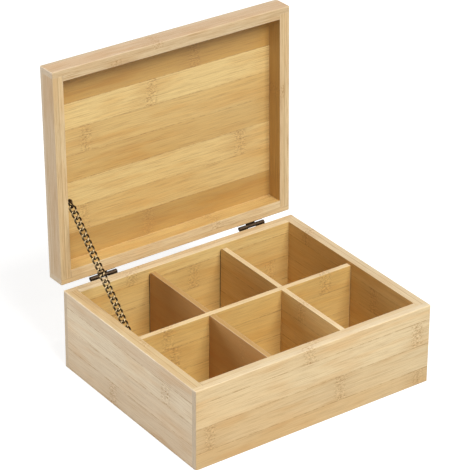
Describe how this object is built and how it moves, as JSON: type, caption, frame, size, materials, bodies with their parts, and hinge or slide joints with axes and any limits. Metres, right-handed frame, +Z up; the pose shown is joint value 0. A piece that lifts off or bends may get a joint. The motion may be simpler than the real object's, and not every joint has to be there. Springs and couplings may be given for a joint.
{
  "type": "tea bag organizer box",
  "caption": "Bamboo tea bag box with divided compartments and a hinged, recessed lid held open by a chain.",
  "frame": {"origin": "middle of the underside of the case, on the surface that the box stands on", "axes": "+X to the right along the front, +Y from the front to the hinges at the back, +Z up; the lid is stored open on its chain"},
  "size_m": [0.22, 0.2049, 0.2516],
  "materials": {
    "case_wood": "satin clear-coated bamboo, grain along the board",
    "case_side_wood": "satin clear-coated bamboo, grain along the board",
    "bottom_wood": "satin clear-coated bamboo panel",
    "divider_wood": "satin clear-coated bamboo",
    "lid_rail_wood": "satin clear-coated bamboo, two layers glued",
    "lid_panel_wood": "satin clear-coated bamboo glued up from wide strips",
    "hinge_bronze": "antiqued dark bronze with rubbed edges",
    "screw_bronze": "antiqued bronze, brighter on the crowns",
    "chain_bronze": "antiqued dark bronze with rubbed crowns"
  },
  "bodies": {
    "case": {"box_front": "case_wood", "box_back": "case_wood", "box_left": "case_side_wood", "box_right": "case_side_wood", "box_bottom": "bottom_wood", "long_divider": "divider_wood", "cross_divider_left": "divider_wood", "cross_divider_right": "divider_wood", "hinge_left_box_leaf": "hinge_bronze", "hinge_left_pin": "hinge_bronze", "hinge_right_box_leaf": "hinge_bronze", "hinge_right_pin": "hinge_bronze", "box_hinge_screws": "screw_bronze", "chain": "chain_bronze", "chain_box_screw": "screw_bronze"},
    "lid": {"lid_front_rail": "lid_rail_wood", "lid_back_rail": "lid_rail_wood", "lid_left_rail": "lid_rail_wood", "lid_right_rail": "lid_rail_wood", "lid_panel": "lid_panel_wood", "hinge_left_lid_leaf": "hinge_bronze", "hinge_right_lid_leaf": "hinge_bronze", "lid_hinge_screws": "screw_bronze", "chain_lid_screw": "screw_bronze"}
  },
  "joints": [
    {"name": "lid_hinge", "type": "hinge", "parent": "case", "child": "lid", "pos_m": [0, 0.0924, 0.06925], "axis": [1, 0, 0], "range_deg": [0, 91.5], "deforming": ["chain"]}
  ]
}
